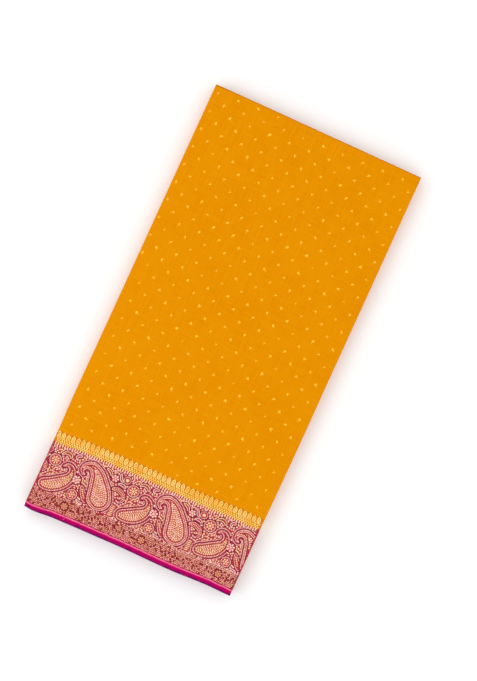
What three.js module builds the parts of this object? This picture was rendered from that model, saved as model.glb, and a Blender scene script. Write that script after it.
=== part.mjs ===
// A silk brocade sari as it is folded for the shelf.
// The cloth is doubled across its width, so that its two selvedges lie together at the border end and
// the half fold lies at the other end. The doubled cloth then runs back and forth along its length.
// Millimetres, +Z up. X is across the pile, +Y points from the border end to the half fold,
// and the origin is the centre of the face that it rests on.
import * as THREE from 'three';

// The pile's outline, seen from above.
const PILE_WIDTH = 276.2;
const PILE_LENGTH = 568.5;
// The stiff brocade border is drawn in at the sides, and the softer field bulges past it.
const BORDER_HEIGHT = 104;
const BORDER_DRAWN_IN = 0.9;
const BORDER_EASE = 42;
const FOLD_DRAWN_IN = 0.54;
const FIELD_BULGE_FADE = 380;
// The selvedge end wanders as the cloth was folded: how far it lies above its lowest corner.
const SELVEDGE_WANDER = [
  { across: 0, reach: 1.0 },
  { across: 13, reach: 0.2 },
  { across: 40, reach: 2.6 },
  { across: 82, reach: 3.5 },
  { across: 128, reach: 4.3 },
  { across: 190, reach: 3.9 },
  { across: 248, reach: 6.1 },
  { across: 276.2, reach: 5.6 },
];

// The cloth. Each layer stands for about three of the thin real ones.
const SHEET = 1.0;
const LAYER_GAP = 0.5;
const LAYER_PITCH = SHEET + LAYER_GAP;
const DOUBLED_PITCH = 2 * LAYER_PITCH;
const LEAF_OFFSET = LAYER_PITCH / 2;
const SKIN_OFFSET = LEAF_OFFSET + SHEET / 2;
const LINING_OFFSET = LEAF_OFFSET - SHEET / 2;
const TURN_RADIUS = DOUBLED_PITCH / 2;
// The zari makes the pile thicker at its border, and the folded end springs up a little.
const BORDER_RISE = 0.045;
const BORDER_RISE_START = 83;
const BORDER_RISE_LENGTH = 62;
const FOLD_RISE = 0.02;
const FOLD_RISE_LENGTH = 60;

// One row for each run of the doubled cloth, from the bottom up.
// turnIn: how far the side fold after this run stands inside the outline (for the last one, its cut end).
// foldIn: how far its half fold stands inside the outline.
// leafA, leafB: how far the selvedge of each of its two leaves stands inside the outline. Leaf A is the
// upper one on the first, third, fifth and seventh run.
const RUNS = [
  { turnIn: 0.9, foldIn: 0.8, leafA: 2.4, leafB: 1.2 },
  { turnIn: 0.3, foldIn: 1.3, leafA: 3.4, leafB: 1.9 },
  { turnIn: 1.2, foldIn: 0.4, leafA: 1.6, leafB: 2.6 },
  { turnIn: 0.8, foldIn: 1.1, leafA: 2.9, leafB: 1.0 },
  { turnIn: 0.4, foldIn: 0.6, leafA: 2.2, leafB: 3.1 },
  { turnIn: 0.0, foldIn: 0.9, leafA: 3.6, leafB: 1.4 },
  { turnIn: 0.3, foldIn: 0.0, leafA: 6.0, leafB: 0.0 },
];
const FIRST_END_IN = 1.4;

// A run spans this much of its row's place in the table, and the turn after it spans the rest. The values
// of two rows blend over the middle of the way between them.
const ROW_SPAN = 0.8;
const BLEND_START = 0.25;
const BLEND_SPAN = 0.5;

// Steps of the mesh.
const STEPS_PER_RUN = 9;
const STEPS_PER_TURN = 6;
const STEPS_OUTER_BEND = 6;
const STEPS_INNER_BEND = 4;
// Where the leaves are stepped along the pile, as shares of the way from the selvedge to the half fold.
const LEAF_STEPS = [0, 0.06, 0.16, 0.22, 0.4, 0.62, 0.85, 1];

const smooth = (t) => {
  const s = Math.min(Math.max(t, 0), 1);
  return s * s * (3 - 2 * s);
};

// How far the selvedge end lies above its lowest corner at a distance across the pile.
function selvedgeWander(across) {
  const next = SELVEDGE_WANDER.findIndex((row) => row.across >= across);
  if (next <= 0) {
    return SELVEDGE_WANDER[next === 0 ? 0 : SELVEDGE_WANDER.length - 1].reach;
  }
  const a = SELVEDGE_WANDER[next - 1];
  const b = SELVEDGE_WANDER[next];
  return a.reach + (b.reach - a.reach) * smooth((across - a.across) / (b.across - a.across));
}

// How far each side of the outline is drawn in at a distance above the selvedge end.
function drawnIn(along) {
  const border = BORDER_DRAWN_IN * (1 - smooth((along - BORDER_HEIGHT) / BORDER_EASE));
  const fold = FOLD_DRAWN_IN * smooth((along - BORDER_HEIGHT) / FIELD_BULGE_FADE);
  return Math.max(border, fold);
}

// How much higher than its layers' own pitch the pile stands at a distance above the selvedge end.
function loft(along) {
  const border = 1 - smooth((along - BORDER_RISE_START) / BORDER_RISE_LENGTH);
  const fold = smooth((along - PILE_LENGTH + FOLD_RISE_LENGTH) / FOLD_RISE_LENGTH);
  return 1 + BORDER_RISE * border + FOLD_RISE * fold;
}

// The neat pile is drawn to the outline that hands gave it.
function toPile(across, along, height) {
  const inset = drawnIn(along);
  const side = across / PILE_WIDTH;
  const x = inset + side * (PILE_WIDTH - 2 * inset);
  const y = along + selvedgeWander(across) * (1 - along / PILE_LENGTH);
  return new THREE.Vector3(x, y, height * loft(along));
}

// The stations of the doubled cloth's middle, from the first cut end to the last: a place across the pile,
// a height, the direction of leaf A as an angle about Y, and a place in the table of runs.
function middleStations() {
  const stations = [];
  for (let run = 0; run < RUNS.length; run += 1) {
    const rightward = run % 2 === 0;
    const height = SKIN_OFFSET + run * DOUBLED_PITCH;
    const endRoom = run === RUNS.length - 1 ? 0 : TURN_RADIUS + SKIN_OFFSET;
    const startRoom = run === 0 ? 0 : TURN_RADIUS + SKIN_OFFSET;
    const startIn = startRoom + (run === 0 ? FIRST_END_IN : RUNS[run - 1].turnIn);
    const endIn = endRoom + RUNS[run].turnIn;
    const start = rightward ? startIn : PILE_WIDTH - startIn;
    const end = rightward ? PILE_WIDTH - endIn : endIn;
    for (let step = 0; step <= STEPS_PER_RUN; step += 1) {
      const share = step / STEPS_PER_RUN;
      const x = start + (end - start) * share;
      const place = run + ROW_SPAN * (share - 0.5);
      stations.push({ x, z: height, turned: rightward ? 0 : Math.PI, place });
    }
    if (run < RUNS.length - 1) {
      const sign = rightward ? 1 : -1;
      for (let step = 1; step < STEPS_PER_TURN; step += 1) {
        const share = step / STEPS_PER_TURN;
        const angle = Math.PI * share;
        stations.push({
          x: end + sign * TURN_RADIUS * Math.sin(angle),
          z: height + TURN_RADIUS * (1 - Math.cos(angle)),
          turned: rightward ? angle : Math.PI - angle,
          place: run + ROW_SPAN / 2 + (1 - ROW_SPAN) * share,
        });
      }
    }
  }
  return stations;
}

// A column of the table of runs, read smoothly between one run and the next.
function runValue(column, place) {
  const low = Math.min(Math.max(Math.floor(place), 0), RUNS.length - 1);
  const high = Math.min(low + 1, RUNS.length - 1);
  const share = smooth((place - low - BLEND_START) / BLEND_SPAN);
  return RUNS[low][column] + (RUNS[high][column] - RUNS[low][column]) * share;
}

// The doubled cloth's section: places along the pile and offsets towards leaf A. It starts at leaf A's
// selvedge on the outside, goes round the half fold and back inside.
function section(place) {
  const bend = PILE_LENGTH - SKIN_OFFSET - runValue('foldIn', place);
  const edgeA = runValue('leafA', place);
  const edgeB = runValue('leafB', place);
  const points = [];
  const leaf = (edge, offset, share) => {
    points.push({ along: edge + (bend - edge) * share, offset });
  };
  const arc = (radius, steps, from) => {
    for (let step = 1; step < steps; step += 1) {
      const angle = from * (Math.PI / 2 - (Math.PI * step) / steps);
      points.push({ along: bend + radius * Math.cos(angle), offset: radius * Math.sin(angle) });
    }
  };
  const outward = LEAF_STEPS;
  const homeward = [...LEAF_STEPS].reverse();
  outward.forEach((share) => leaf(edgeA, SKIN_OFFSET, share));
  arc(SKIN_OFFSET, STEPS_OUTER_BEND, 1);
  homeward.forEach((share) => leaf(edgeB, -SKIN_OFFSET, share));
  outward.forEach((share) => leaf(edgeB, -LINING_OFFSET, share));
  arc(LINING_OFFSET, STEPS_INNER_BEND, -1);
  homeward.forEach((share) => leaf(edgeA, LINING_OFFSET, share));
  return points;
}

// The section swept along the stations, closed at both cut ends.
function sariGeometry() {
  const positions = [];
  const indices = [];
  const stations = middleStations();
  const sections = stations.map((station) => section(station.place));
  const count = sections[0].length;
  stations.forEach((station, row) => {
    sections[row].forEach(({ along, offset }) => {
      const x = station.x - offset * Math.sin(station.turned);
      const z = station.z + offset * Math.cos(station.turned);
      positions.push(...toPile(x, along, z).toArray());
    });
  });
  for (let row = 0; row < stations.length - 1; row += 1) {
    for (let column = 0; column < count; column += 1) {
      const a = row * count + column;
      const b = row * count + ((column + 1) % count);
      indices.push(a, a + count, b, b, a + count, b + count);
    }
  }
  const capEnd = (row, reversed) => {
    const outline = sections[row].map(({ along, offset }) => new THREE.Vector2(along, offset));
    THREE.ShapeUtils.triangulateShape(outline, []).forEach(([a, b, c]) => {
      const face = reversed ? [a, c, b] : [a, b, c];
      indices.push(...face.map((corner) => row * count + corner));
    });
  };
  capEnd(0, true);
  capEnd(stations.length - 1, false);
  const geometry = new THREE.BufferGeometry();
  geometry.setAttribute('position', new THREE.Float32BufferAttribute(positions, 3));
  geometry.setIndex(indices);
  geometry.computeBoundingBox();
  const middle = geometry.boundingBox.getCenter(new THREE.Vector3());
  geometry.translate(-middle.x, -middle.y, -geometry.boundingBox.min.z);
  geometry.computeVertexNormals();
  return geometry;
}

const silk = new THREE.MeshStandardMaterial({ color: 0xe59100, roughness: 0.55, metalness: 0 });
const sari = new THREE.Mesh(sariGeometry(), silk);
sari.name = 'sari';

const pile = new THREE.Group();
pile.add(sari);

export default pile;
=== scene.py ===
"""A banarasi sari folded for the shelf: one silk cloth, and the gold thread woven into it."""
import bpy
import numpy as np
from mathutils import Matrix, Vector


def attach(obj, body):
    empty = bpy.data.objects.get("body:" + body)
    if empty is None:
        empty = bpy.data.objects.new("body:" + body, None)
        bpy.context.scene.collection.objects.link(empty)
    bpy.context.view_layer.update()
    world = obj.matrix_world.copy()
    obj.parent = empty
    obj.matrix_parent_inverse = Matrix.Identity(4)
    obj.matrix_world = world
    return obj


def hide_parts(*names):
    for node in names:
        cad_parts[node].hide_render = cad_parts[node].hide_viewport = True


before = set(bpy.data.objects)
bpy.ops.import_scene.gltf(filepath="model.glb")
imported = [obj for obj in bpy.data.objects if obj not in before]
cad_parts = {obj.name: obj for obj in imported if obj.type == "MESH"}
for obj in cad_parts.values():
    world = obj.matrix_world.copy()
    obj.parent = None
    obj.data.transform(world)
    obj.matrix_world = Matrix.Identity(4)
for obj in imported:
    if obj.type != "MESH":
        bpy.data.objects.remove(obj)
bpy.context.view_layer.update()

# All sizes are in millimetres until a mesh is made. "Across" the pile is along the cloth's length, "along"
# leads from the selvedge end to the half fold, and "up" in the drawing leads away from the selvedge.
MM = 0.001

# Sizes of the pile, as in the CAD part
PILE_WIDTH = 276.2
PILE_LENGTH = 568.5
BORDER_HEIGHT = 104.0
BORDER_DRAWN_IN = 0.9
BORDER_EASE = 42.0
FOLD_DRAWN_IN = 0.54
FIELD_BULGE_FADE = 380.0
# How far the selvedge end lies above its lowest corner: place across the pile, reach
SELVEDGE_WANDER = [
    (0, 1.0), (13, 0.2), (40, 2.6), (82, 3.5), (128, 4.3), (190, 3.9), (248, 6.1), (276.2, 5.6),
]
BORDER_RISE = 0.045
BORDER_RISE_START = 83.0
BORDER_RISE_LENGTH = 62.0
FOLD_RISE = 0.02
FOLD_RISE_LENGTH = 60.0

# The thin layers: an odd number of doubled runs, as in the CAD part, so that the last end lies alike
RUNS = 21
PILE_HEIGHT = 20.5
LAYER_GAP = 0.19
DOUBLED_PITCH = (PILE_HEIGHT + LAYER_GAP) / RUNS
LAYER_PITCH = DOUBLED_PITCH / 2
SHEET = LAYER_PITCH - LAYER_GAP
SKIN = LAYER_PITCH / 2 + SHEET / 2
LINING = LAYER_PITCH / 2 - SHEET / 2
TURN_RADIUS = DOUBLED_PITCH / 2
TOP_LEAF_IN = 6.0

# Soft forms that hands left: full sides, a long ridge, dropped edges. Rises are shares of the height.
SIDE_BULGE = 0.6
RIDGE_ACROSS = 70.0
RIDGE_HALF = 8.0
RIDGE_RISE = 0.012
RIDGE_START = 210.0
RIDGE_EASE = 90.0
EDGE_DROP = 0.03
EDGE_DROP_LENGTH = 5.0
# Two slow waves over the face: rise, length across, length along, start
WAVES = [(0.005, 118.0, 430.0, 0.6), (0.005, -310.0, 163.0, 2.1)]

# Colours as they show in plain white light, of the silk
ORANGE = (229, 148, 5)
DEEP_ORANGE = (219, 131, 0)
# painted shade for the half fold's rounded edge
FOLD_SHADE_ORANGE = (198, 118, 2)
LEAF_GROUND = (208, 124, 12)
MAGENTA = (168, 16, 60)
FOOT_MAGENTA = (138, 0, 26)
OUTLINE_MAGENTA = (108, 0, 54)
ROSE = (184, 56, 60)
SELVEDGE_PINK = (208, 66, 112)
# painted highlight of the selvedge's roll, and also the loose thread's own pink
HIGHLIGHT_AND_THREAD_PINK = (246, 120, 158)
WRONG_SIDE_MAGENTA = (166, 10, 92)
WRONG_SIDE_BRIGHT = (198, 4, 92)
# painted shade of the wrong side's rounded edge
WRONG_SIDE_EDGE_SHADE = (106, 12, 86)
# and of the metal thread
GOLD = (248, 213, 157)
WARM_GOLD = (250, 202, 165)
PINK_GOLD = (255, 217, 200)
ROSE_GOLD = (255, 201, 192)
LEAF_GOLD = (255, 228, 136)
DEEP_LEAF_GOLD = (255, 208, 96)
SPRIG_GOLD = (255, 200, 50)
SPRIG_DIM = (255, 184, 34)
# What is left of a thread's colour where it turns away from the light
DEEPER = (0.87, 0.54, 0.55)
LEAF_DEEPER = (0.9, 0.8, 0.62)


def linear(rgb, share=1.0):
    """A colour given as it shows, in Blender's linear numbers; share dims each channel."""
    c = np.array(rgb) / 255
    bright = np.where(c < 0.04045, c / 12.92, ((c + 0.055) / 1.055) ** 2.4)
    return (*(np.array(share) * bright), 1.0)


def smooth(t):
    s = np.clip(t, 0, 1)
    return s * s * (3 - 2 * s)


# The pile's form

def selvedge_wander(across):
    """How far the selvedge end lies above its lowest corner at a place across the pile."""
    at, reach = np.array(SELVEDGE_WANDER).T
    k = np.clip(np.searchsorted(at, across) - 1, 0, len(at) - 2)
    share = smooth((across - at[k]) / (at[k + 1] - at[k]))
    return reach[k] + (reach[k + 1] - reach[k]) * share


def drawn_in(along):
    """How far each side of the outline is drawn in at a distance above the selvedge end."""
    border = BORDER_DRAWN_IN * (1 - smooth((along - BORDER_HEIGHT) / BORDER_EASE))
    fold = FOLD_DRAWN_IN * smooth((along - BORDER_HEIGHT) / FIELD_BULGE_FADE)
    return np.maximum(border, fold)


def loft(across, along):
    """How much higher than its layers' own pitch the pile stands at a place."""
    border = 1 - smooth((along - BORDER_RISE_START) / BORDER_RISE_LENGTH)
    fold = smooth((along - PILE_LENGTH + FOLD_RISE_LENGTH) / FOLD_RISE_LENGTH)
    waves = sum(rise * np.sin(2 * np.pi * (across / u + along / t) + start) for rise, u, t, start in WAVES)
    ridge = RIDGE_RISE * np.exp(-(((across - RIDGE_ACROSS) / RIDGE_HALF) ** 2))
    ridge = ridge * smooth((along - RIDGE_START) / RIDGE_EASE)
    to_side = np.minimum(across, PILE_WIDTH - across)
    drop = EDGE_DROP * np.exp(-np.maximum(to_side, 0) / EDGE_DROP_LENGTH)
    return 1 + BORDER_RISE * border + FOLD_RISE * fold + waves + ridge - drop


def to_pile(across, along, height):
    """A place in the neat pile, drawn to the outline that hands gave it."""
    inset = drawn_in(along) - SIDE_BULGE
    x = inset + across / PILE_WIDTH * (PILE_WIDTH - 2 * inset)
    y = along + selvedge_wander(np.clip(across, 0, PILE_WIDTH)) * (1 - along / PILE_LENGTH)
    return np.stack([x, y, height * loft(across, along)], -1)


# The cloth: one section of the doubled sari, swept back and forth

# How far each run's side fold, half fold and two selvedges stand inside the outline
rng = np.random.default_rng(11)
TURN_IN = np.r_[rng.uniform(0.1, 1.5, RUNS - 1), 0.4]
TURN_IN[RUNS - 2] = 0.0
FIRST_END_IN = 1.4
FOLD_IN = np.r_[rng.uniform(0.3, 1.5, RUNS - 1), 0.0]
LEAF_A_IN = np.r_[rng.uniform(0.9, 3.6, RUNS - 1), TOP_LEAF_IN]
LEAF_B_IN = np.r_[rng.uniform(0.9, 3.6, RUNS - 1), 0.0]
# How far a side fold strays along its length, the uppermost one less
SIDE_PHASE = rng.uniform(0, 2 * np.pi, RUNS)
SIDE_SWAY, TOP_SIDE_SWAY = 0.35, 0.12
SIDE_SWAY_LENGTH = 61.0
SIDE_SWAY_EASE = 40.0
# A run spans this much of its row's place in the tables, and the values of two rows blend halfway
ROW_SPAN = 0.8
BLEND_START, BLEND_SPAN = 0.25, 0.5


def run_value(table, place):
    """A table's value at a place between one run and the next."""
    low = np.clip(np.floor(place).astype(int), 0, RUNS - 1)
    high = np.minimum(low + 1, RUNS - 1)
    return table[low] + (table[high] - table[low]) * smooth((place - low - BLEND_START) / BLEND_SPAN)


def side_sway(turn, along):
    """How far a side fold strays outwards or inwards along its length."""
    amount = SIDE_SWAY if turn < RUNS - 2 else TOP_SIDE_SWAY
    return amount * np.sin(along / SIDE_SWAY_LENGTH + SIDE_PHASE[turn]) * smooth(along / SIDE_SWAY_EASE)


def run_ends(run):
    """The places across the pile where a run starts and ends, between its two turns."""
    room = TURN_RADIUS + SKIN
    start_in = FIRST_END_IN if run == 0 else room + TURN_IN[run - 1]
    end_in = TURN_IN[run] + (0 if run == RUNS - 1 else room)
    if run % 2 == 0:
        return start_in, PILE_WIDTH - end_in
    return PILE_WIDTH - start_in, end_in


# Steps of the mesh across the pile, closer next to a turn
EDGE_STEPS = [0, 1.2, 2.6, 4.4, 7, 11]
STEPS_PER_RUN = 25
STEPS_PER_TURN = 6


def middle_stations():
    """Rows of: across, height, turned, place in the tables, run, share of the run, cloth length so far."""
    rows = []
    length = 0.0
    for run in range(RUNS):
        start, end = run_ends(run)
        way, reach = np.sign(end - start), abs(end - start)
        inner = np.linspace(EDGE_STEPS[-1], reach - EDGE_STEPS[-1], STEPS_PER_RUN)[1:-1]
        steps = np.r_[EDGE_STEPS, inner, reach - np.array(EDGE_STEPS)[::-1]]
        height = SKIN + run * DOUBLED_PITCH
        for step in steps:
            share = step / reach
            place = run + ROW_SPAN * (share - 0.5)
            turned = 0 if way > 0 else np.pi
            rows.append((start + way * step, height, turned, place, run, share, length + step))
        length += reach
        if run == RUNS - 1:
            break
        for k in range(1, STEPS_PER_TURN):
            angle = np.pi * k / STEPS_PER_TURN
            place = run + ROW_SPAN / 2 + (1 - ROW_SPAN) * k / STEPS_PER_TURN
            x = end + way * TURN_RADIUS * np.sin(angle)
            z = height + TURN_RADIUS * (1 - np.cos(angle))
            turned = angle if way > 0 else np.pi - angle
            rows.append((x, z, turned, place, run, 1.0, length + angle * TURN_RADIUS))
        length += np.pi * TURN_RADIUS
    return np.array(rows)


def sway_at(run, share, along):
    """The stray of the side folds at both ends of a run, passed on smoothly between them."""
    before = side_sway(max(run - 1, 0), along)
    after = side_sway(run, along)
    return before + (after - before) * share


# Steps of the mesh along a leaf, and round the half fold
SKIN_STEPS = np.r_[0, 2.3, 6, np.arange(12, 100, 8.0), np.arange(104, 560, 19.0)]
LINING_STEPS = np.r_[0, 6, 30, 60, 90, 120, np.arange(180, 560, 75.0)]
SKIN_FOLD_STEPS, LINING_FOLD_STEPS = 6, 4


def leaf_places(edge, bend, steps):
    """Places along one leaf at every station, the last at the half fold."""
    places = edge[:, None] + np.r_[steps, 0.0][None]
    places[:, -1] = bend
    return places


def sari_mesh():
    """The cloth's points, its quads, its two cut ends, and for each point: its place in the flat cloth and
    its side, whether it lacks raised thread, and its place among the finished colours."""
    x, z, turned, place, run, share, length = middle_stations().T
    bend = PILE_LENGTH - SKIN - run_value(FOLD_IN, place)
    edge_a, edge_b = run_value(LEAF_A_IN, place), run_value(LEAF_B_IN, place)
    skin_a = leaf_places(edge_a, bend, SKIN_STEPS)
    skin_b = leaf_places(edge_b, bend, SKIN_STEPS)[:, ::-1]
    lining_b = leaf_places(edge_b, bend, LINING_STEPS)
    lining_a = leaf_places(edge_a, bend, LINING_STEPS)[:, ::-1]
    outer = np.pi / 2 - np.pi * np.arange(1, SKIN_FOLD_STEPS) / SKIN_FOLD_STEPS
    inner = -np.pi / 2 + np.pi * np.arange(1, LINING_FOLD_STEPS) / LINING_FOLD_STEPS
    # each part of the section: places along the pile, offset towards leaf A, its selvedge, its side
    parts = [
        (skin_a, SKIN, edge_a, 1.0),
        (bend[:, None] + SKIN * np.cos(outer), SKIN * np.sin(outer), edge_a, 1.0),
        (skin_b, -SKIN, edge_b, 1.0),
        (lining_b, -LINING, edge_b, 0.0),
        (bend[:, None] + LINING * np.cos(inner), LINING * np.sin(inner), edge_a, 0.0),
        (lining_a, LINING, edge_a, 0.0),
    ]
    along = np.hstack([places for places, _, _, _ in parts])
    offset = np.hstack([np.broadcast_to(offsets, places.shape) for places, offsets, _, _ in parts])
    up = np.hstack([places - edge[:, None] for places, _, edge, _ in parts])
    side = np.hstack([np.full(places.shape, which) for places, _, _, which in parts])
    sway = np.array([sway_at(int(r), s, a) for r, s, a in zip(run, share, along)])
    across = x[:, None] + sway - offset * np.sin(turned)[:, None]
    height = z[:, None] + offset * np.cos(turned)[:, None]
    points = to_pile(across, along, height)
    grid = np.arange(along.size).reshape(along.shape)
    beside = np.roll(grid, -1, 1)
    quads = np.stack([grid[:-1], grid[1:], beside[1:], beside[:-1]], -1).reshape(-1, 4)
    # the outside's columns: leaf A's up to its bend, then the bend's and leaf B's
    to_bend = skin_a.shape[1]
    to_inside = to_bend + len(outer) + skin_b.shape[1]
    caps = cap_faces(grid[0], to_bend, to_inside, along[0], True)
    caps += cap_faces(grid[-1], to_bend, to_inside, along[-1], False)
    cloth = np.stack([np.broadcast_to(length[:, None], up.shape), up, side], -1)
    column = np.arange(along.shape[1])
    top = (run == RUNS - 1)[:, None] & (column < to_bend)
    base = (run == 0)[:, None] & (column >= to_bend) & (column < to_inside)
    bare = 1.0 - (top | base)
    maps = bake_map(length, run, up, side, top, base)
    return points.reshape(-1, 3), quads, caps, cloth.reshape(-1, 3), bare.reshape(-1), maps.reshape(-1, 2)


def cap_faces(ring, to_bend, to_inside, along, flip):
    """The cut end of the doubled sari, as triangles between its outside and its inside."""
    outside, inside = ring[:to_inside], ring[to_inside:][::-1]
    place_out = np.r_[along[:to_bend], 2 * PILE_LENGTH - along[to_bend:to_inside], np.inf]
    place_in = along[to_inside:][::-1]
    turn = np.argmax(place_in)
    place_in = np.r_[place_in[:turn], 2 * PILE_LENGTH - place_in[turn:], np.inf]
    faces = []
    i = j = 0
    while i < len(outside) - 1 or j < len(inside) - 1:
        if place_out[i + 1] <= place_in[j + 1]:
            faces.append([outside[i], outside[i + 1], inside[j]])
            i += 1
        else:
            faces.append([outside[i], inside[j + 1], inside[j]])
            j += 1
    return [[int(v) for v in (f[::-1] if flip else f)] for f in faces]


# Shares of the width of the square that finished colours are kept in: the uppermost leaf's, the lowest's
TOP_SHARE = 0.5
BASE_SHARE = 0.25
MARGIN = 0.004


def bake_map(length, run, up, side, top, base):
    """The cloth's places in that square; the lower half of its height is the right side."""
    starts = np.array([length[run == r].min() for r in range(RUNS)])
    local = ((length - starts[run.astype(int)]) / PILE_WIDTH)[:, None]
    high = up / PILE_LENGTH
    u = np.where(top, TOP_SHARE * local, TOP_SHARE + BASE_SHARE * local)
    u = np.where(base, TOP_SHARE + BASE_SHARE + BASE_SHARE * local, u)
    v = np.where(top, high, 0.5 * high)
    v = np.where(side < 0.5, 0.5 + 0.5 * high, v)
    return MARGIN + np.stack([u, np.clip(v, 0, 1)], -1) * (1 - 3 * MARGIN)


# Bands of that square for raised thread: the faces seen from above, those turned down, the ends
ABOVE, UNDER, ENDS = (0.08, 0.99), (0.04, 0.07), (0.004, 0.025)
END_SIZE = 0.004


def thread_map(flat, faces, kinds):
    """Places in the square for every corner of a piece of raised thread."""
    low = flat.min(0)
    share = (flat - low) / (flat.max(0) - low)
    across = MARGIN + share[:, 0] * (1 - 4 * MARGIN)
    places = []
    for face, (bottom, top) in zip(faces, kinds):
        if (bottom, top) == ENDS:
            u, v = across[face[0]], bottom + (top - bottom) * share[face[0], 1]
            places += [(u, v), (u + END_SIZE, v), (u + END_SIZE, v + END_SIZE), (u, v + END_SIZE)]
        else:
            places += [(across[k], bottom + (top - bottom) * share[k, 1]) for k in face]
    return places


def placed(name, data):
    thing = bpy.data.objects.new(name, data)
    bpy.context.scene.collection.objects.link(thing)
    return thing


def mesh_object(name, points, faces, material):
    """A piece from its points, which are given in millimetres."""
    mesh = bpy.data.meshes.new(name)
    mesh.from_pydata((points * MM).tolist(), [], faces)
    mesh.materials.append(material)
    return placed(name, mesh)


# Materials

# Heights over the selvedge: the brocade starts, its dense rows end, the field starts with a row of leaves,
# and the painted shade along the half fold's crease starts; the wrong side's border ends
BROCADE_FROM = 2.3
ROWS_TO = 21.5
FIELD_FROM = 85.2
LEAF_ROW, LEAF_ROW_HALF = 91.0, 7.0
FOLD_SHADE_FROM = PILE_LENGTH - TOP_LEAF_IN - 1.0
WRONG_FIELD_FROM = 82.0
# Pitches of the silk's weave, of the gold floats in its ground, and of the raised strands
WEAVE_PITCH = 0.6
FLOAT_PITCH = 0.85
STRAND_PITCH = 0.45
# The raised thread is dimmer below the paisleys: up to where, from the pile's middle, and what is left
FOOT_PLACE = -PILE_LENGTH / 2 + TOP_LEAF_IN + 24.0
FOOT_SHARE = 0.05


class Nodes:
    """A short way to write a material's nodes."""

    def __init__(self, name):
        self.material = bpy.data.materials.new(name)
        self.material.use_nodes = True
        self.tree = self.material.node_tree
        self.shader = self.tree.nodes["Principled BSDF"]

    def put(self, socket, value):
        """Links an output, or sets a value; three numbers are a colour as it shows."""
        if isinstance(value, bpy.types.NodeSocket):
            self.tree.links.new(value, socket)
        else:
            socket.default_value = linear(value) if np.size(value) == 3 else value

    def fill(self, node, **values):
        """Puts values on a node's inputs by name; an underscore stands for a blank."""
        for name, value in values.items():
            self.put(node.inputs[name.replace("_", " ")], value)

    def node(self, kind, *inputs, **settings):
        node = self.tree.nodes.new(kind)
        for key, value in settings.items():
            setattr(node, key, value)
        for socket, value in zip(node.inputs, inputs):
            self.put(socket, value)
        return node

    def math(self, operation, *values):
        return self.node("ShaderNodeMath", *values, operation=operation).outputs[0]

    def times(self, a, b):
        return self.math("MULTIPLY", a, b)

    def scaled(self, value, by, plus):
        return self.math("MULTIPLY_ADD", value, by, plus)

    def mix(self, share, a, b):
        node = self.node("ShaderNodeMix", share, data_type="RGBA", clamp_factor=True)
        self.put(node.inputs[6], a)
        self.put(node.inputs[7], b)
        return node.outputs[2]

    def step(self, value, at, soft):
        """0 below a place and 1 above it, over a soft width."""
        ends = (at - soft / 2, at + soft / 2)
        return self.node("ShaderNodeMapRange", value, *ends, interpolation_type="SMOOTHSTEP").outputs[0]

    def wave(self, value, pitch):
        return self.math("SINE", self.times(value, 2 * np.pi / pitch))

    def noise(self, x, y, z=0.0, detail=2.0):
        """Soft noise at a place; a pair is a socket and how fast the noise changes along it."""
        at = [self.times(*part) if isinstance(part, tuple) else part for part in (x, y, z)]
        node = self.node("ShaderNodeTexNoise")
        self.fill(node, Vector=self.node("ShaderNodeCombineXYZ", *at).outputs[0], Scale=1.0, Detail=detail)
        return node.outputs["Fac"]

    def bump(self, height, distance, strength):
        node = self.node("ShaderNodeBump")
        self.fill(node, Height=height, Distance=distance, Strength=strength)
        self.fill(self.shader, Normal=node.outputs[0])


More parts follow.
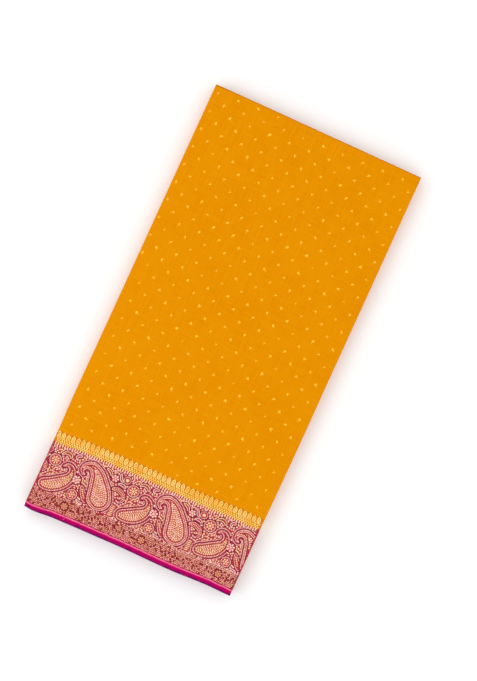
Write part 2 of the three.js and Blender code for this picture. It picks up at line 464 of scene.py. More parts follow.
def silk_material():
    """The whole cloth by its own coordinates: orange field, magenta border, plain selvedge, wrong side."""
    n = Nodes("silk")
    cloth = n.node("ShaderNodeAttribute", attribute_name="cloth")
    parts = n.node("ShaderNodeSeparateXYZ", cloth.outputs["Vector"]).outputs
    length, up, side = parts[0], parts[1], parts[2]
    bare = n.node("ShaderNodeAttribute", attribute_name="bare").outputs["Fac"]
    right_side = n.step(side, 0.5, 0.4)

    # threads: warp runs along the cloth's length, weft across its width, both a little uneven
    warp = n.noise((length, 0.035), (up, 1.9), detail=3.0)
    weft = n.noise((length, 1.9), (up, 0.03), 7.0, detail=3.0)
    threads = n.math("ADD", warp, weft)
    slow = n.scaled(n.noise((length, 0.013), (up, 0.011), 3.0), 0.4, 0.3)
    shade = n.scaled(n.math("SUBTRACT", threads, 1.0), 1.5, slow)
    orange = n.mix(n.step(shade, 0.45, 0.9), DEEP_ORANGE, ORANGE)
    # painted shade: the half fold's rounded edge is darkened along its crease, where it turns from the
    # light
    fold_shade = n.times(n.step(up, FOLD_SHADE_FROM, 0.8), right_side)
    orange = n.mix(fold_shade, orange, FOLD_SHADE_ORANGE)

    # gold floats that show between the raised ones, and more of them where none is raised
    speck = n.step(n.noise((length, 0.9), (up, 0.55), 1.0, detail=1.0), 0.5, 0.25)
    haze = n.times(speck, n.scaled(n.wave(length, FLOAT_PITCH), 0.25, 0.75))
    haze = n.times(haze, n.scaled(bare, 0.62, 0.16))
    plain = n.mix(n.step(up, ROWS_TO, 3.0), FOOT_MAGENTA, MAGENTA)
    ground = n.mix(haze, plain, GOLD)

    # the pink line along the selvedge's roll wavers a little, as the roll does, with a dark line beside it;
    # its middle carries a painted highlight in patches, as if the roll caught the light
    waver = n.math("SUBTRACT", n.noise((length, 0.1), 9.0), 0.5)
    wavy = n.scaled(waver, 2.6, up)
    highlight_band = n.times(n.step(wavy, 0.45, 0.7), n.math("SUBTRACT", 1.0, n.step(wavy, 1.75, 0.8)))
    patch = n.noise((length, 0.16), (up, 0.2), 5.0)
    lit = n.times(highlight_band, n.scaled(n.step(patch, 0.48, 0.3), 0.5, 0.5))
    pink = n.mix(lit, SELVEDGE_PINK, HIGHLIGHT_AND_THREAD_PINK)
    dark_line = n.math("COMPARE", wavy, BROCADE_FROM + 0.3, 0.3)
    ground = n.mix(dark_line, ground, OUTLINE_MAGENTA)
    border = n.mix(n.step(wavy, BROCADE_FROM, 0.3), pink, ground)

    # the field joins the border in small teeth; where no leaves are raised, plain marks stand for them
    join = n.scaled(n.math("PINGPONG", length, 1.6), 1.7, up)
    leaf_row = n.math("COMPARE", up, LEAF_ROW, LEAF_ROW_HALF)
    leaf = n.step(n.math("PINGPONG", length, 3.2), 1.7, 0.5)
    leaf_mark = n.times(leaf, n.times(leaf_row, bare))
    field = n.mix(leaf_mark, n.mix(leaf_row, orange, LEAF_GROUND), LEAF_GOLD)
    right = n.mix(n.step(join, FIELD_FROM, 0.5), border, field)

    # the wrong side shows where the selvedge rolls up: painted shade darkens it at its very edge, where it
    # rounds away from the light, then it grows brighter
    edge_shade_reach = n.scaled(warp, 1.6, up)
    edge_shade_reach = n.scaled(n.math("SUBTRACT", patch, 0.5), 7.0, edge_shade_reach)
    back = n.mix(n.step(edge_shade_reach, 2.5, 2.0), WRONG_SIDE_EDGE_SHADE, WRONG_SIDE_MAGENTA)
    back = n.mix(n.step(edge_shade_reach, 5.2, 1.6), back, WRONG_SIDE_BRIGHT)
    wrong = n.mix(n.step(up, WRONG_FIELD_FROM, 2.0), back, orange)
    colour = n.mix(right_side, wrong, right)
    n.fill(n.shader, Base_Color=colour, Metallic=0.2, Roughness=0.48, Specular_IOR_Level=0.0)
    weave = n.math("ADD", n.wave(length, WEAVE_PITCH), n.wave(up, WEAVE_PITCH))
    n.bump(n.scaled(weave, 0.12, threads), 0.00012, 0.6)
    return n.material


def zari_material(name, colour, second, deeper=DEEPER):
    """Metal or silk thread laid side by side, running with the weft; its tone strays to a second colour."""
    n = Nodes(name)
    place = n.node("ShaderNodeTexCoord").outputs["Object"]
    parts = n.node("ShaderNodeSeparateXYZ", place).outputs
    x, y = n.math("DIVIDE", parts[0], MM), n.math("DIVIDE", parts[1], MM)
    glint = n.step(n.noise((x, 1.3), (y, 0.35)), 0.42, 0.3)
    foot = n.scaled(n.step(y, FOOT_PLACE, 6.0), 1 - FOOT_SHARE, FOOT_SHARE)
    drift = n.step(n.noise((x, 0.085), (y, 0.085), 4.0, detail=1.0), 0.5, 0.22)
    full = n.mix(drift, colour, second)
    deep = n.mix(drift, linear(colour, deeper), linear(second, deeper))
    tone = n.mix(n.times(glint, foot), deep, full)
    n.fill(n.shader, Base_Color=tone, Metallic=0.3, Roughness=0.4, Specular_IOR_Level=0.2)
    n.bump(n.wave(x, STRAND_PITCH), 0.00006, 0.7)
    return n.material


# The cloth's drawing, in millimetres of cloth: across, and up from the selvedge

REPEAT = 103.0
FIRST_REPEAT = -60.2
# The raised thread starts and ends this far across the leaf, just inside its sides
LOW, HIGH = 1.3, PILE_WIDTH - 1.6
# The way to a repeat's neighbours and itself
SHIFTS = [(-REPEAT, 0), (0, 0), (REPEAT, 0)]


def lengths(line):
    """How far along a line each of its points lies."""
    return np.r_[0, np.cumsum(np.hypot(*np.diff(line[:, :2], axis=0).T))]


def evenly(line, step):
    """A line with its points at even steps."""
    d = lengths(line)
    q = np.linspace(0, d[-1], max(int(round(d[-1] / step)), 2) + 1)
    return np.stack([np.interp(q, d, column) for column in line.T], 1)


def curve(rows, step):
    """A smooth line through given rows, at even steps; every column is carried along."""
    p = np.array(rows, float)
    p = np.vstack([2 * p[0] - p[1], p, 2 * p[-1] - p[-2]])
    t = np.linspace(0, 1, 16, endpoint=False)[:, None]
    parts = []
    for a, b, c, d in zip(p, p[1:], p[2:], p[3:]):
        cubic = 1.5 * (b - c) + (d - a) / 2
        parts.append(b + t * (c - a) / 2 + t**2 * (a - 2.5 * b + 2 * c - d / 2) + t**3 * cubic)
    return evenly(np.vstack([*parts, p[-2:-1]]), step)


def normals(line, closed=False):
    """The way to the left of a line at each of its points."""
    along = np.roll(line, -1, 0) - np.roll(line, 1, 0) if closed else np.gradient(line, axis=0)
    x, y = along[:, :2].T / np.maximum(np.hypot(*along[:, :2].T), 1e-9)
    return np.stack([-y, x], 1)


def rounded(rows, step):
    """A spine's line and its half widths, with both ends made round."""
    c = curve(rows, step)
    d = lengths(c)
    half = c[:, 2].copy()
    for way, end in ((d, c[0, 2]), (d[-1] - d, c[-1, 2])):
        half *= np.sqrt(1 - (1 - np.clip(way / max(end, 0.3), 0, 1)) ** 2)
    return c, half


def body(rows, step=1.0):
    """Outline of a curved, tapering body from its spine: across, up, half width."""
    c, half = rounded(rows, 0.5)
    out = normals(c) * half[:, None]
    ring = np.vstack([c[:, :2] + out, (c[:, :2] - out)[::-1]])
    ring = evenly(np.vstack([ring, ring[:1]]), step)[:-1]
    x, y = ring.T
    clockwise = (x * np.roll(y, -1) - y * np.roll(x, -1)).sum() < 0
    return ring[::-1] if clockwise else ring


def signed(points, ring):
    """Distance of each point from a closed outline, negative inside."""
    a, b = ring, np.roll(ring, -1, 0)
    ab, ap = b - a, points[:, None] - a
    k = np.clip((ap * ab).sum(2) / np.maximum((ab * ab).sum(1), 1e-12), 0, 1)
    gap = np.sqrt(((ap - k[..., None] * ab) ** 2).sum(2)).min(1)
    up = (a[:, 1] > points[:, None, 1]) != (b[:, 1] > points[:, None, 1])
    with np.errstate(divide="ignore", invalid="ignore"):
        cross = a[:, 0] + (points[:, None, 1] - a[:, 1]) / ab[:, 1] * ab[:, 0]
    inside = (up & (points[:, None, 0] < cross)).sum(1) % 2 == 1
    return np.where(inside, -gap, gap)


def stretches(line, keep, closed=False, least=3):
    """The stretches of a line over which keep holds."""
    if keep.all():
        return [np.vstack([line, line[:1]])] if closed else [line]
    if closed:
        first = int(np.argmin(keep))
        line, keep = np.roll(line, -first, 0), np.roll(keep, -first)
    marks = np.flatnonzero(np.diff(np.r_[0, keep.astype(int), 0]))
    return [line[a:b] for a, b in zip(marks[::2], marks[1::2]) if b - a >= least]


def inset(ring, depth):
    """Lines that run at one depth inside an outline."""
    moved = ring + normals(ring, True) * depth
    return stretches(moved, signed(moved, ring) < -0.96 * depth, True)


def circle(at, radius, count=28):
    a = np.linspace(0, 2 * np.pi, count + 1)
    return np.array(at) + radius * np.stack([np.cos(a), np.sin(a)], 1)


def petal_outline(at, angle, length, width, sides=8, point=0.0):
    """A small leaf round its middle; point draws its outer end to a tip."""
    a = np.linspace(0, 2 * np.pi, sides, endpoint=False)
    x, y = np.cos(a) * length / 2, np.sin(a) * width / 2 * (1 - point * 0.45 * np.cos(a))
    c, s = np.cos(angle), np.sin(angle)
    return np.stack([at[0] + x * c - y * s, at[1] + x * s + y * c], 1)


def stray(u, t, number):
    """A steady number between -1 and 1 that belongs to a place and looks drawn by chance."""
    return float(43758.5453 * np.sin(12.9898 * u + 78.233 * t + 3.7 * number) % 2 - 1)


class Drawing:
    """Ribbons and small filled shapes of thread, in cloth coordinates."""

    def __init__(self):
        self.ribbons = []
        self.slabs = []

    def ribbon(self, line, width):
        self.ribbons.append((line, np.full(len(line), width / 2)))

    def petal(self, *args, **settings):
        self.slabs.append(petal_outline(*args, **settings))

    def dot(self, at, size, sides=8):
        self.petal(at, 0.3, size, size, sides=sides)

    def beads(self, lines, length):
        """Tight rows of short bars across some lines."""
        for line in lines:
            self.row(line, 1.8, length, 1.5, sides=6)

    def row(self, line, pitch, length, width, turn=np.pi / 2, sides=8, other=None, share=0.0):
        """Petals along a line, turned from its direction; a share of them may go to another drawing."""
        d = lengths(line)
        x, y = line[:, 0], line[:, 1]
        count = int(d[-1] / pitch)
        for k in range(count):
            q = (k + 0.5) * d[-1] / count
            at, ahead, behind = [(np.interp(p, d, x), np.interp(p, d, y)) for p in (q, q + 0.3, q - 0.3)]
            angle = np.arctan2(ahead[1] - behind[1], ahead[0] - behind[0]) + turn + 0.2 * stray(*at, 1)
            size = 1 + 0.12 * stray(*at, 2)
            to = other if other and stray(*at, 3) < 2 * share - 1 else self
            to.petal(at, angle, length * size, width * size, sides=sides)

    def rosette(self, at, size, petals, turn=0.0):
        """A round flower: a dot and its petals."""
        self.dot(at, 0.30 * size)
        for k in range(petals):
            a = turn + 2 * np.pi * k / petals
            middle = (at[0] + 0.335 * size * np.cos(a), at[1] + 0.335 * size * np.sin(a))
            self.petal(middle, a, 0.31 * size, 1.55 * size / petals, point=0.5)

    def add(self, other, shift=0.0):
        """Another drawing, moved across, without what would pass the sides of the leaf."""
        for line, half in other.ribbons:
            both = np.column_stack([line + [shift, 0], half])
            for part in stretches(both, (both[:, 0] > LOW) & (both[:, 0] < HIGH)):
                self.ribbons.append((part[:, :2], part[:, 2]))
        for outline in other.slabs:
            moved = outline + [shift, 0]
            if moved[:, 0].min() > LOW and moved[:, 0].max() < HIGH:
                self.slabs.append(moved)
        return self


# Spines drawn one by one: across, up, half width

# The large upright paisley has its bulb at the lower right, and its head turns over at the upper left.
UPRIGHT = [
    (40.5, 23.0, 14.0), (39.0, 31.5, 15.2), (37.0, 39.0, 15.4), (33.8, 47.5, 14.2), (29.5, 56.0, 11.8),
    (23.8, 65.2, 9.0), (15.0, 71.4, 6.4), (6.8, 69.0, 4.4), (4.6, 62.8, 2.9), (8.2, 58.6, 1.7),
    (11.4, 60.2, 1.0),
]
# The smaller paisley leans to the right, with its tip hooked back to the left.
LEANING = [
    (63.6, 31.0, 6.4), (70.0, 31.2, 7.4), (78.4, 33.0, 9.2), (87.6, 37.6, 9.8), (94.4, 43.8, 8.2),
    (97.6, 51.0, 5.9), (96.2, 58.0, 4.0), (91.0, 62.0, 2.8), (86.0, 60.6, 1.8), (85.0, 57.0, 1.1),
]
# A scroll springs from the upright paisley's shoulder, and a leaf stands at its foot.
SCROLL = [
    (47.0, 55.6, 1.8), (51.0, 57.4, 2.8), (57.0, 57.2, 3.2), (63.0, 53.4, 2.8), (65.0, 48.0, 2.1),
    (62.0, 43.8, 1.5), (58.2, 44.0, 1.1), (57.0, 47.0, 0.8),
]
FOOT_LEAF = [(11.0, 46.5, 0.8), (13.6, 41.6, 2.9), (17.0, 36.2, 3.7), (20.8, 30.6, 3.5), (24.4, 26.2, 2.0)]
FIGURES = (UPRIGHT, LEANING, SCROLL, FOOT_LEAF)
# Small curled leaves in the ground above the paisleys
CURLS = [
    [(76.6, 71.6, 0.8), (80.0, 75.2, 1.9), (85.0, 75.8, 2.3), (89.0, 73.0, 1.9), (88.4, 70.0, 1.0)],
    [(98.2, 70.6, 0.8), (95.6, 74.4, 1.8), (98.0, 77.4, 2.0), (102.4, 76.8, 1.2)],
    [(51.0, 63.4, 0.8), (54.4, 65.2, 1.8), (59.0, 64.6, 2.1), (62.4, 62.0, 1.1)],
    [(31.0, 76.6, 0.9), (35.6, 75.4, 2.0), (39.6, 72.4, 1.9), (41.0, 68.8, 1.0)],
    [(50.4, 78.6, 0.9), (51.6, 74.8, 1.8), (53.6, 70.6, 1.9), (57.4, 68.6, 1.1)],
    [(12.0, 27.6, 0.8), (14.2, 24.8, 1.5), (18.6, 24.0, 1.7), (22.0, 25.0, 1.0)],
]
# Round flowers: across, up, radius
FLOWERS = [(5.0, 30.0, 6.8), (46.0, 69.4, 5.0), (72.4, 63.4, 7.8), (60.4, 72.8, 5.0), (3.2, 48.6, 5.8)]

# A paisley's filling: depths of its dark line and its rows of marks, share of rosier ones, middle's depth
UPRIGHT_FILL = (4.9, (6.6, 9.1, 11.7, 14.2), 0.45, 5.7)
LEANING_FILL = (2.9, (4.6, 7.1, 9.2), 0.2, 3.8)
# In the middle, the steps at which a mark's place is sought, and how close marks lie
HEART_STEP = 0.4
HEART_PITCH = 1.75
# The dark outline's width round a figure, and how far outside each paisley a line of thread follows it
OUTLINE = 1.0
ECHOES = (1.9, 2.2)
# A stack of bars between the paisleys, from the lowest one up, and the ground that is kept free for it
BAR = (57.0, 25.2)
BAR_COUNT = 6
BAR_STEP = (0.2, 2.35)
BARS_MIDDLE, BARS_HALF, BARS_TOP = 57.6, 4.4, 39.4
# The ground's leaves: from where to where, steps of the search, distance from figures, lines and leaves
PAISLEY_FOOT, PAISLEY_HEAD = 23.4, 80.2
GROUND_STEP = 0.8
GROUND_ROOM = 1.6
ECHO_ROOM = 1.7
GROUND_PITCH = 2.5


def figures():
    """The silk bodies that one repeat's gold lies on, a little narrower than its figures."""
    bodies = Drawing()
    for rows in FIGURES:
        line, half = rounded(rows, 0.9)
        bodies.ribbons.append((line[:, :2], np.maximum(half - 0.1, 0.2)))
    for u, t, radius in FLOWERS:
        bodies.petal((u, t), 0.0, 1.7 * radius, 1.7 * radius, sides=20)
    return bodies


def one_repeat():
    """One repeat of the paisley band: its golden thread, its rosier thread and its dark outlines."""
    gold, rose, dark = Drawing(), Drawing(), Drawing()
    upright, leaning, scroll, foot = [body(rows) for rows in FIGURES]
    for line in inset(upright, 3.2):
        gold.row(line, 2.0, 2.0, 1.6, turn=0.4, sides=6, other=rose, share=0.6)
    fill_paisley(gold, rose, dark, upright, *UPRIGHT_FILL)
    fill_paisley(gold, rose, dark, leaning, *LEANING_FILL)
    rose.beads(apart(inset(foot, 0.9), upright, 1.9), 1.7)
    gold.row(curve(FOOT_LEAF[1:4], 0.8)[:, :2], 2.3, 2.8, 1.7, turn=0.8)
    rose.beads(apart(inset(scroll, 0.8), upright, 1.3), 1.5)
    gold.row(curve(SCROLL[:5], 0.8)[:, :2], 2.3, 1.9, 1.7)
    curls = [body(rows, 0.7) for rows in CURLS]
    for number, ring in enumerate(curls):
        for line in inset(ring, 0.6):
            (gold if number % 3 == 0 else rose).ribbon(line, 1.15)

    spots = [flower[:2] for flower in FLOWERS]
    rose.beads([circle(spots[0], 5.9)], 1.7)
    gold.rosette(spots[0], 9.2, 6, 0.2)
    rose.rosette(spots[1], 9.8, 6)
    rose.beads([circle(spots[2], 7.0)], 1.8)
    gold.rosette(spots[2], 11.4, 8)
    rose.beads([circle(spots[3], 4.4)], 1.5)
    gold.dot(spots[3], 4.6)
    rose.rosette(spots[4], 11.4, 7, 0.4)
    for k in range(BAR_COUNT):
        gold.petal((BAR[0] + BAR_STEP[0] * k, BAR[1] + BAR_STEP[1] * k), 0.05, 6.6 - 0.3 * k, 1.6)

    own = [upright, leaning, scroll, foot, *[circle(at, r)[:-1] for *at, r in FLOWERS], *curls]
    for ring in own:
        moved = ring - normals(ring, True) * OUTLINE / 2
        for line in stretches(moved, signed(moved, upright) > 0.3, True):
            dark.ribbon(line, OUTLINE)
    taken = [ring + shift for ring in own for shift in SHIFTS]
    echoes = echo_lines(rose, upright, leaning, taken)
    fill_ground(gold, rose, taken, echoes)
    return gold, rose, dark


def apart(lines, ring, gap):
    """What is left of some lines beyond a gap round an outline."""
    return [part for line in lines for part in stretches(line, signed(line, ring) > gap)]


def fill_paisley(gold, rose, dark, ring, line_depth, depths, share, heart_depth):
    """Beads at a paisley's edge, a dark line, rows of marks that lean by turns, and its filled middle."""
    rose.beads(inset(ring, 1.1), 2.1)
    for line in inset(ring, line_depth):
        dark.ribbon(line, 0.6)
    for number, depth in enumerate(depths):
        turn = np.pi / 2 + (0.55 if number % 2 else -0.55)
        for line in inset(ring, depth):
            gold.row(line, 2.5, 3.1, 1.9, turn=turn, sides=7, other=rose, share=share)
    fill_heart(gold, rose, ring, heart_depth)


def fill_heart(gold, rose, ring, depth):
    """Small marks in the middle of a figure, wherever its rows leave the silk bare."""
    low, high = ring.min(0), ring.max(0)
    across = np.arange(low[0], high[0], HEART_STEP)
    grid = np.array([(u, t) for t in np.arange(low[1], high[1], HEART_STEP) for u in across])
    depths = -signed(grid, ring)
    order = np.argsort(depths, kind="stable")
    centres = np.array([slab.mean(0) for slab in gold.slabs + rose.slabs])
    for place in grid[order][depths[order] > depth]:
        if np.hypot(*(centres - place).T).min() > HEART_PITCH:
            gold.petal(place, stray(*place, 4), 1.9, 1.5, sides=7)
            centres = np.vstack([centres, place])


def room(points, taken, skip=None):
    """Distance from the nearest of the taken shapes; skip is the number of one to leave out."""
    return np.min([signed(points, ring) for k, ring in enumerate(taken) if k != skip], 0)


def echo_lines(thread, upright, leaning, taken):
    """A line of thread that follows each paisley outside it; gives back the places it takes."""
    earlier, kept = [], []
    for number, (ring, echo) in enumerate(zip((upright, leaning), ECHOES)):
        moved = ring - normals(ring, True) * echo
        # the taken shapes come in threes, one for each repeat, and the paisley's own is the middle one
        keep = (signed(moved, ring) > echo - 0.1) & (room(moved, taken, 3 * number + 1) > OUTLINE)
        keep &= (moved[:, 1] > PAISLEY_FOOT) & (moved[:, 1] < PAISLEY_HEAD)
        if earlier:
            keep &= room(moved, earlier) > ECHO_ROOM
        kept += stretches(moved, keep, True, 5)
        earlier += [moved + shift for shift in SHIFTS]
    thread.beads(kept, 1.7)
    return np.vstack(kept)


def fill_ground(gold, rose, taken, echoes):
    """Small leaves that fill the ground between the figures and turn with their outlines."""
    across = np.arange(0, REPEAT, GROUND_STEP)
    grid = np.array([(u, t) for t in np.arange(PAISLEY_FOOT, PAISLEY_HEAD, GROUND_STEP) for u in across])
    grid = grid[(np.abs(grid[:, 0] - BARS_MIDDLE) > BARS_HALF) | (grid[:, 1] > BARS_TOP)]
    away = room(grid, taken)
    order = np.argsort(away, kind="stable")
    grid = grid[order][away[order] > GROUND_ROOM]
    for shift in SHIFTS:
        gaps = (grid[:, None] - echoes - shift).transpose(2, 0, 1)
        grid = grid[np.hypot(*gaps).min(1) >= ECHO_ROOM]
    tiny = 0.2
    slope_u = room(grid + [tiny, 0], taken) - room(grid - [tiny, 0], taken)
    slope_t = room(grid + [0, tiny], taken) - room(grid - [0, tiny], taken)
    turns = np.arctan2(slope_t, slope_u) + np.pi / 2
    set_down = np.empty((0, 2))
    for place, turn in zip(grid, turns):
        gap = np.abs(set_down - place)
        gap[:, 0] = np.minimum(gap[:, 0], REPEAT - gap[:, 0])
        if len(gap) and np.hypot(*gap.T).min() < GROUND_PITCH:
            continue
        set_down = np.vstack([set_down, place])
        size = 1 + 0.14 * stray(*place, 1)
        to = rose if stray(*place, 3) > 0.2 else gold
        to.petal(place, turn + 0.3 * stray(*place, 2), 3.0 * size, 1.95 * size, sides=7)


# The dense rows below the paisleys
ROW_COUNT = 9
ROW_FROM = 3.9
ROW_PITCH = 2.26
MARK_PITCH = 2.2
# A vine sways through the rows, and a small flower stands in each repeat, this far from its start
VINE_UP = 13.0
VINE_SWAY = 3.4
VINE_PITCH = 20.6
VINE_WIDTH = 0.8
SMALL_FLOWER_AT = 2.7
SMALL_FLOWER_UP = 12.6
# A row of dots closes the band above the paisleys
DOTS_UP = 81.3


def vine_up(across):
    return VINE_UP + VINE_SWAY * np.sin(2 * np.pi * across / VINE_PITCH)


def plain_rows(width):
    """The dense rows below the paisleys and the dots above: golden thread, rosier thread, dark silk."""
    gold, rose, dark = Drawing(), Drawing(), Drawing()
    hearts = np.arange(FIRST_REPEAT + SMALL_FLOWER_AT, width + REPEAT, REPEAT)
    for number in range(ROW_COUNT):
        up = ROW_FROM + ROW_PITCH * number
        lean = 0.6 if number % 2 else -0.6
        for u in np.arange(0.8 + MARK_PITCH / 2 * (number % 2), width, MARK_PITCH):
            at = np.array([u + 0.3 * stray(u, up, 1), up + 0.25 * stray(u, up, 2)])
            in_flower = np.hypot(hearts - at[0], SMALL_FLOWER_UP - at[1]).min() < 5.8
            # here and there a mark is missing
            if in_flower or abs(at[1] - vine_up(at[0])) < VINE_WIDTH or stray(u, up, 4) > 0.76:
                continue
            size = 1 + 0.22 * stray(u, up, 5)
            to = rose if stray(u, up, 6) > -0.5 else gold
            to.petal(at, np.pi / 2 + lean + 0.6 * stray(u, up, 3), 2.7 * size, 1.55 * size, sides=6)
    for u in hearts:
        gold.rosette((u, SMALL_FLOWER_UP), 9.4, 7, 0.5)
        dark.ribbon(circle((u, SMALL_FLOWER_UP), 5.2), VINE_WIDTH)
    at = np.arange(0, width + 1, 1.0)
    clear = np.abs(at[:, None] - hearts).min(1) > 5.6
    for part in stretches(np.stack([at, vine_up(at)], 1), clear):
        dark.ribbon(part, VINE_WIDTH)
    for u in np.arange(0.8, width, 3.175):
        to = rose if stray(u, 3, 1) > 0 else gold
        to.petal((u, DOTS_UP + 0.4 * np.sin(u * 1.1)), np.pi / 2, 3.4, 2.2, sides=7)
    return gold, rose, dark


LEAF_PITCH = 6.35
LEAF_UP = 93.2


def leaf_edging(width):
    """The row of gold leaves that stands on the border, over close rows of dots."""
    gold = Drawing()
    for u in np.arange(LEAF_PITCH / 2, width, LEAF_PITCH):
        lean = 0.07 + 0.08 * np.sin(u * 0.31)
        up, turn = LEAF_UP + 0.2 * np.sin(u * 12.9), np.pi / 2 + lean
        rim = petal_outline((u, up), turn, 7.4, 3.7, sides=18)
        gold.ribbon(np.vstack([rim, rim[:1]]), 1.3)
        gold.petal((u, up - 0.2), turn, 5.0, 1.4)
        gold.petal((u - 5.0 * lean, up + 5.0), turn, 1.5, 0.9, sides=6)
        gold.petal((u + LEAF_PITCH / 2, LEAF_UP - 3.6), np.pi / 2, 2.8, 1.7, sides=6)
    for u in np.arange(0.8, width, LEAF_PITCH / 2):
        gold.petal((u, LEAF_UP - 5.8), np.pi / 2 + 0.3 * stray(u, 1, 1), 2.5, 2.3, sides=7)
        gold.petal((u + 1.5, LEAF_UP - 7.8), np.pi / 2 + 0.3 * stray(u, 2, 1), 2.4, 2.1, sides=7)
        gold.dot((u, LEAF_UP - 9.7), 2.2, 7)
    return gold


# The sprigs on the field: the place of one, pitches, lean of columns, tilt of rows, ranges, lowest height
SPRIG_AT = (199.5, 333.0)
SPRIG_PITCH = (26.2, 24.0)
SPRIG_LEAN, SPRIG_TILT = 0.018, 0.036
SPRIG_ROWS, SPRIG_COLUMNS = range(-30, 30), range(-18, 12)
SPRIGS_FROM = 103.0
# Their shapes: each is a few petals, given as across, up, angle, length and width
SPRIGS = [
    [(0.1, 0.2, 1.2, 3.4, 2.7), (-1.9, -0.9, 2.4, 1.5, 0.8), (1.6, -1.4, 0.3, 1.4, 0.8)],
    [(0.3, 0.3, 0.8, 3.4, 2.6), (-1.3, -1.6, 1.2, 2.0, 0.8)],
    [(0.0, 0.5, 1.9, 3.2, 2.7), (1.3, -1.4, 0.7, 2.0, 0.9)],
    [(-0.4, 0.2, 1.5, 3.4, 2.3), (1.5, 0.6, 1.1, 1.9, 0.8), (0.3, -2.1, 0.4, 1.4, 0.8)],
    [(0.2, 0.1, 0.4, 2.9, 1.5), (-1.1, 1.3, 1.6, 1.6, 0.8), (-1.2, -1.2, 2.0, 1.6, 0.8)],
]
SPRIG_SIZE = 1.12


def field_sprigs(width, height):
    """Small sprigs in staggered rows over the field, each turned a little and of its own size."""
    gold = Drawing()
    half_u, half_t = SPRIG_PITCH[0] / 2, SPRIG_PITCH[1] / 2
    draw = np.random.default_rng(5)
    for j in SPRIG_ROWS:
        for i in SPRIG_COLUMNS:
            if (i + j) % 2:
                continue
            u = SPRIG_AT[0] + i * half_u + SPRIG_LEAN * j * half_t
            t = SPRIG_AT[1] + j * half_t + SPRIG_TILT * i * half_u
            turn, size, kind = draw.normal(0, 0.35), draw.normal(1.0, 0.08), draw.integers(len(SPRIGS))
            if SPRIGS_FROM < t < height - 5 and 3 < u < width - 3:
                sprig(gold, SPRIGS[kind], (u, t), turn, size)
    return gold


def sprig(drawing, petals, at, turn, size):
    c, s = np.cos(turn), np.sin(turn)
    for x, y, angle, length, width in petals:
        place = (at[0] + size * (x * c - y * s), at[1] + size * (x * s + y * c))
        grown = SPRIG_SIZE * size
        drawing.petal(place, angle + turn, grown * length, grown * width, point=0.6)


# Raised thread

# How far a piece is sunk into the cloth, and how far each kind rises over it
SUNK = 0.08
RAISED = 0.17
FIGURE_RAISED = 0.05
OUTLINE_RAISED = 0.09
# How far a piece's top stands in from its foot, and the least share of its half width that is left
BEVEL = 0.2
LEAST_RIBBON_TOP, LEAST_SLAB_TOP = 0.4, 0.45


def on_leaf(u, t, lift, top):
    """A place on the outer face of the uppermost or the lowest leaf, lift above its cloth."""
    run = RUNS - 1 if top else 0
    start, end = run_ends(run)
    share = np.clip((u - start) / (end - start), 0, 1)
    along = run_value(LEAF_A_IN if top else LEAF_B_IN, run + ROW_SPAN * (share - 0.5)) + t
    across = u + sway_at(run, share, along)
    middle = SKIN + run * DOUBLED_PITCH
    height = middle + SKIN + lift if top else middle - SKIN - lift
    return to_pile(across, along, height)


def woven_piece(name, drawing, material, raised, top):
    """A drawing as one mesh of closed slabs with sloped sides."""
    points, flat, faces, kinds = [], [], [], []
    count = 0

    def add(u, t, lift):
        nonlocal count
        points.append(on_leaf(u, t, lift, top))
        flat.append(np.stack([u, t], 1))
        count += len(u)
        return np.arange(count - len(u), count)

    def close(new, kind):
        faces.extend(new if top else [face[::-1] for face in new])
        kinds.extend([kind] * len(new))

    for line, half in drawing.ribbons:
        closed = np.allclose(line[0], line[-1])
        if closed:
            line, half = line[:-1], half[:-1]
        out = normals(line, closed)
        inner = np.maximum(half - BEVEL, half * LEAST_RIBBON_TOP)
        rows = []
        for width, lift in ((half, -SUNK), (inner, raised), (-inner, raised), (-half, -SUNK)):
            across = np.clip(line[:, 0] + out[:, 0] * width, LOW, HIGH)
            rows.append(add(across, line[:, 1] + out[:, 1] * width, lift))
        if closed:
            rows = [np.r_[r, r[:1]] for r in rows]
        else:
            close([[int(r[0]) for r in rows], [int(r[-1]) for r in rows][::-1]], ENDS)
        for a, b in zip(rows, rows[1:] + rows[:1]):
            kind = UNDER if b is rows[0] else ABOVE
            close(np.stack([a[:-1], a[1:], b[1:], b[:-1]], 1).tolist(), kind)
    for ring in drawing.slabs:
        middle = ring.mean(0)
        reach = np.hypot(*(ring - middle).T)
        inner = middle + (ring - middle) * np.maximum(1 - BEVEL / reach, LEAST_SLAB_TOP)[:, None]
        low, high = add(*ring.T, -SUNK), add(*inner.T, raised)
        close(np.stack([low, np.roll(low, -1), np.roll(high, -1), high], 1).tolist(), ABOVE)
        close([high.tolist()], ABOVE)
        close([low[::-1].tolist()], UNDER)
    piece = mesh_object(name, np.vstack(points) - CENTRE, faces, material)
    places = thread_map(np.vstack(flat), faces, kinds)
    piece.data.uv_layers.new(name="OFBake").data.foreach_set("uv", np.ravel(places))
    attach(piece, "root")
    return piece


# A loose end of thread that lies over the top leaf's selvedge: across, along, and height over the cloth
LOOSE_END = [
    (50.7, 8.4, 0.1), (50.9, 7.0, 0.3), (51.4, 5.8, 0.3),
    (51.9, 4.6, 0.12), (51.5, 3.4, 0.1), (50.9, 2.6, 0.1),
]
LOOSE_RADIUS = 0.32
LOOSE_SIDES = 8
# Where along the pile it has come down past the selvedge, and over what length
LOOSE_DOWN = 4.6
LOOSE_DOWN_LENGTH = 1.6


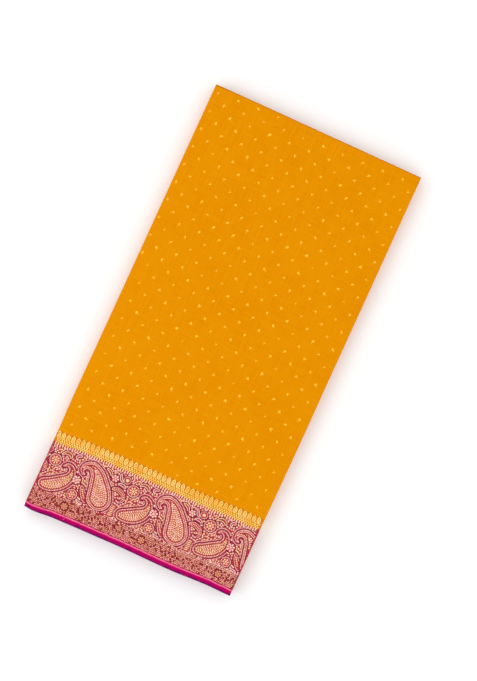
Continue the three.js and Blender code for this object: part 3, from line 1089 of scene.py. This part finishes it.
def loose_thread():
    path = curve(LOOSE_END, 0.35)
    down = 1 - smooth((path[:, 1] - LOOSE_DOWN) / LOOSE_DOWN_LENGTH)
    path[:, 2] += SKIN + (RUNS - 1) * DOUBLED_PITCH + SKIN - down * (SKIN + LINING)
    path = to_pile(*path.T)
    way = np.gradient(path, axis=0)
    way /= np.linalg.norm(way, axis=1)[:, None]
    aside = np.cross(way, (0, 0, 1))
    aside /= np.linalg.norm(aside, axis=1)[:, None]
    above = np.cross(aside, way)
    turn = np.linspace(0, 2 * np.pi, LOOSE_SIDES, endpoint=False)[None, :, None]
    rings = path[:, None] + LOOSE_RADIUS * (np.cos(turn) * aside[:, None] + np.sin(turn) * above[:, None])
    grid = np.arange(len(path) * LOOSE_SIDES).reshape(-1, LOOSE_SIDES)
    a, b = grid[:-1], grid[1:]
    faces = np.stack([a, np.roll(a, -1, 1), np.roll(b, -1, 1), b], -1).reshape(-1, 4).tolist()
    faces += [grid[0][::-1].tolist(), grid[-1].tolist()]
    material = zari_material("pink_thread", HIGHLIGHT_AND_THREAD_PINK, HIGHLIGHT_AND_THREAD_PINK)
    piece = mesh_object("loose_thread", rings.reshape(-1, 3) - CENTRE, faces, material)
    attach(piece, "root")
    return piece


# The pieces

points, quads, caps, cloth, bare, maps = sari_mesh()
# The middle of the pile's outline; the pile rests on the thread raised from its lowest leaf
CENTRE = np.array([*(points.min(0) + points.max(0))[:2] / 2, -RAISED])
sari = mesh_object("sari_cloth", points - CENTRE, quads.tolist() + caps, silk_material())
mesh = sari.data
mesh.attributes.new("cloth", "FLOAT_VECTOR", "POINT").data.foreach_set("vector", cloth.ravel())
mesh.attributes.new("bare", "FLOAT", "POINT").data.foreach_set("value", bare)
corners = [loop.vertex_index for loop in mesh.loops]
mesh.uv_layers.new(name="OFBake").data.foreach_set("uv", maps[corners].ravel())
mesh.shade_smooth()
mesh.set_sharp_from_angle(angle=np.radians(50))
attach(sari, "root")
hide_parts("sari")

border, rosy, outlines = [Drawing().add(drawing) for drawing in plain_rows(PILE_WIDTH)]
fills = Drawing()
for whole, one in zip((border, rosy, outlines, fills), (*one_repeat(), figures())):
    for k in range(4):
        whole.add(one, FIRST_REPEAT + k * REPEAT)
leaves = Drawing().add(leaf_edging(PILE_WIDTH))
sprigs = field_sprigs(PILE_WIDTH, PILE_LENGTH - TOP_LEAF_IN)
dark_silk = zari_material("dark_silk", OUTLINE_MAGENTA, OUTLINE_MAGENTA)
woven = [
    ("rose_figures", fills, zari_material("rose_silk", ROSE, ROSE), FIGURE_RAISED),
    ("dark_outlines", outlines, dark_silk, OUTLINE_RAISED),
    ("zari_border", border, zari_material("zari", GOLD, WARM_GOLD), RAISED),
    ("zari_rosy", rosy, zari_material("zari_rosy", ROSE_GOLD, PINK_GOLD), RAISED),
    ("zari_leaves", leaves, zari_material("zari_pale", LEAF_GOLD, DEEP_LEAF_GOLD, LEAF_DEEPER), RAISED),
    ("zari_sprigs", sprigs, zari_material("zari_sprig", SPRIG_GOLD, SPRIG_DIM, LEAF_DEEPER), RAISED),
]
zari = [woven_piece(*rows, True) for rows in woven]
zari += [woven_piece(name + "_below", *rest, False) for name, *rest in woven]
zari.append(loose_thread())


# Floor, light and camera

PHOTO_HEIGHT = 681
MM_PER_PIXEL = 1.2237
# The photo's middle in the neat pile, across and along, and how far the pile is turned in it
PHOTO_CENTRE = np.array([155.3, 294.4])
PHOTO_TURN = np.radians(24.58)
LENS = 85.0
SENSOR = 36.0
# How far the floor lies under the pile
FLOOR_GAP = 0.03
# The floor and the light, in metres
FLOOR_SIZE = 6.0
WORLD_LIGHT = 1.03
KEY_PLACE = (-1.7, -0.7, 2.1)
KEY_SIZE = 1.6
KEY_POWER = 9.0


def camera():
    data = bpy.data.cameras.new("camera")
    data.sensor_fit = "VERTICAL"
    data.sensor_height = SENSOR
    data.lens = LENS
    cam = placed("camera", data)
    distance = MM_PER_PIXEL * PHOTO_HEIGHT * LENS / SENSOR
    cam.location = np.array([*(PHOTO_CENTRE - CENTRE[:2]), distance + PILE_HEIGHT]) * MM
    cam.rotation_euler = (0, 0, PHOTO_TURN)
    bpy.context.scene.camera = cam


def floor():
    n = Nodes("floor")
    n.fill(n.shader, Base_Color=(0.99, 0.99, 0.99, 1), Roughness=0.9, Specular_IOR_Level=0.0)
    half = FLOOR_SIZE / 2 / MM
    corners = [(x * half, y * half, -FLOOR_GAP) for x, y in ((-1, -1), (1, -1), (1, 1), (-1, 1))]
    mesh_object("floor", np.array(corners), [[0, 1, 2, 3]], n.material)


def daylight():
    world = bpy.data.worlds.new("studio")
    world.use_nodes = True
    background = world.node_tree.nodes["Background"]
    background.inputs[0].default_value = (1, 1, 1, 1)
    background.inputs[1].default_value = WORLD_LIGHT
    bpy.context.scene.world = world
    data = bpy.data.lights.new("key", "AREA")
    data.size = KEY_SIZE
    data.energy = KEY_POWER
    lamp = placed("key", data)
    lamp.location = KEY_PLACE
    lamp.rotation_euler = (-Vector(KEY_PLACE)).to_track_quat("-Z", "Y").to_euler()


camera()
floor()
daylight()
bpy.context.scene.view_settings.view_transform = "Standard"
